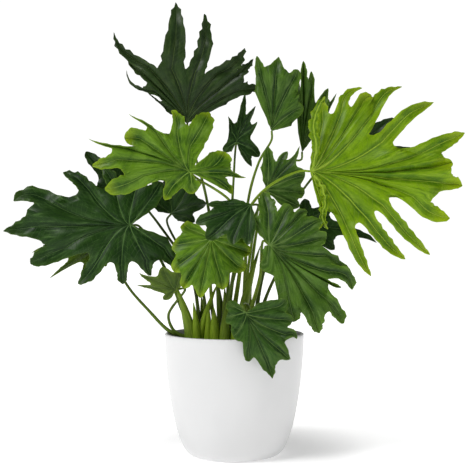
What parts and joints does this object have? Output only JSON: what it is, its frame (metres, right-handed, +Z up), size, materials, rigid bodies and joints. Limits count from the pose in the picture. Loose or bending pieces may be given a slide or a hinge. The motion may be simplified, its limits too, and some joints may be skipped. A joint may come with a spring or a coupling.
{
  "type": "potted plant",
  "caption": "Potted split-leaf philodendron: deeply lobed leaves on long stalks rise from soil in a nursery pot, set in a round white tapered cover pot.",
  "frame": {"origin": "centre of the cover pot's flat bottom, where it rests on the floor", "axes": "+Z up along the pot's axis, the flat bottom faces -Z, +Y away from the plant's front, +X to its right seen from the front"},
  "size_m": [0.6566, 0.2164, 0.6604],
  "materials": {
    "cover_pot": "smooth satin white glaze",
    "nursery_pot": "thin black moulded plastic",
    "soil": "moist crumbly potting mix",
    "crown_a": "fibrous plant crown",
    "crown_b": "fibrous plant crown",
    "crown_c": "fibrous plant crown",
    "crown_d": "fibrous plant crown",
    "blade_top": "waxy lobed leaf, pale veins and margin",
    "blade_upper_left": "waxy lobed leaf, pale veins and margin",
    "blade_left": "waxy lobed leaf, pale veins and margin",
    "blade_right": "waxy lobed leaf, pale veins and margin",
    "blade_front_right": "waxy lobed leaf, pale veins and margin",
    "blade_over_rim": "waxy lobed leaf, pale veins and margin",
    "blade_upper_middle": "waxy lobed leaf, pale veins and margin",
    "blade_narrow": "waxy lobed leaf, pale veins and margin",
    "blade_behind_right": "waxy lobed leaf, pale veins and margin",
    "blade_small_back": "waxy lobed leaf, pale veins and margin",
    "blade_bright_middle": "waxy lobed leaf, pale veins and margin",
    "blade_dark_middle": "waxy lobed leaf, pale veins and margin",
    "blade_bright_fan": "waxy lobed leaf, pale veins and margin",
    "blade_back_left": "waxy lobed leaf, pale veins and margin",
    "blade_olive_low": "waxy lobed leaf, pale veins and margin",
    "blade_far_left": "waxy lobed leaf, pale veins and margin",
    "blade_low_left": "waxy lobed leaf, pale veins and margin",
    "blade_behind_front": "waxy lobed leaf, pale veins and margin",
    "stalk_top": "smooth leaf stalk",
    "stalk_upper_left": "smooth leaf stalk",
    "stalk_left": "smooth leaf stalk",
    "stalk_right": "smooth leaf stalk",
    "stalk_front_right": "smooth leaf stalk",
    "stalk_over_rim": "smooth leaf stalk",
    "stalk_upper_middle": "smooth leaf stalk",
    "stalk_narrow": "smooth leaf stalk",
    "stalk_behind_right": "smooth leaf stalk",
    "stalk_small_back": "smooth leaf stalk",
    "stalk_bright_middle": "smooth leaf stalk",
    "stalk_dark_middle": "smooth leaf stalk",
    "stalk_bright_fan": "smooth leaf stalk",
    "stalk_back_left": "smooth leaf stalk",
    "stalk_olive_low": "smooth leaf stalk",
    "stalk_far_left": "smooth leaf stalk",
    "stalk_low_left": "smooth leaf stalk",
    "stalk_behind_front": "smooth leaf stalk"
  },
  "bodies": {
    "root": {"cover_pot": "cover_pot", "nursery_pot": "nursery_pot", "soil": "soil", "crown_a": "crown_a", "crown_b": "crown_b", "crown_c": "crown_c", "crown_d": "crown_d", "blade_top": "blade_top", "blade_upper_left": "blade_upper_left", "blade_left": "blade_left", "blade_right": "blade_right", "blade_front_right": "blade_front_right", "blade_over_rim": "blade_over_rim", "blade_upper_middle": "blade_upper_middle", "blade_narrow": "blade_narrow", "blade_behind_right": "blade_behind_right", "blade_small_back": "blade_small_back", "blade_bright_middle": "blade_bright_middle", "blade_dark_middle": "blade_dark_middle", "blade_bright_fan": "blade_bright_fan", "blade_back_left": "blade_back_left", "blade_olive_low": "blade_olive_low", "blade_far_left": "blade_far_left", "blade_low_left": "blade_low_left", "blade_behind_front": "blade_behind_front", "stalk_top": "stalk_top", "stalk_upper_left": "stalk_upper_left", "stalk_left": "stalk_left", "stalk_right": "stalk_right", "stalk_front_right": "stalk_front_right", "stalk_over_rim": "stalk_over_rim", "stalk_upper_middle": "stalk_upper_middle", "stalk_narrow": "stalk_narrow", "stalk_behind_right": "stalk_behind_right", "stalk_small_back": "stalk_small_back", "stalk_bright_middle": "stalk_bright_middle", "stalk_dark_middle": "stalk_dark_middle", "stalk_bright_fan": "stalk_bright_fan", "stalk_back_left": "stalk_back_left", "stalk_olive_low": "stalk_olive_low", "stalk_far_left": "stalk_far_left", "stalk_low_left": "stalk_low_left", "stalk_behind_front": "stalk_behind_front"}
  },
  "joints": []
}
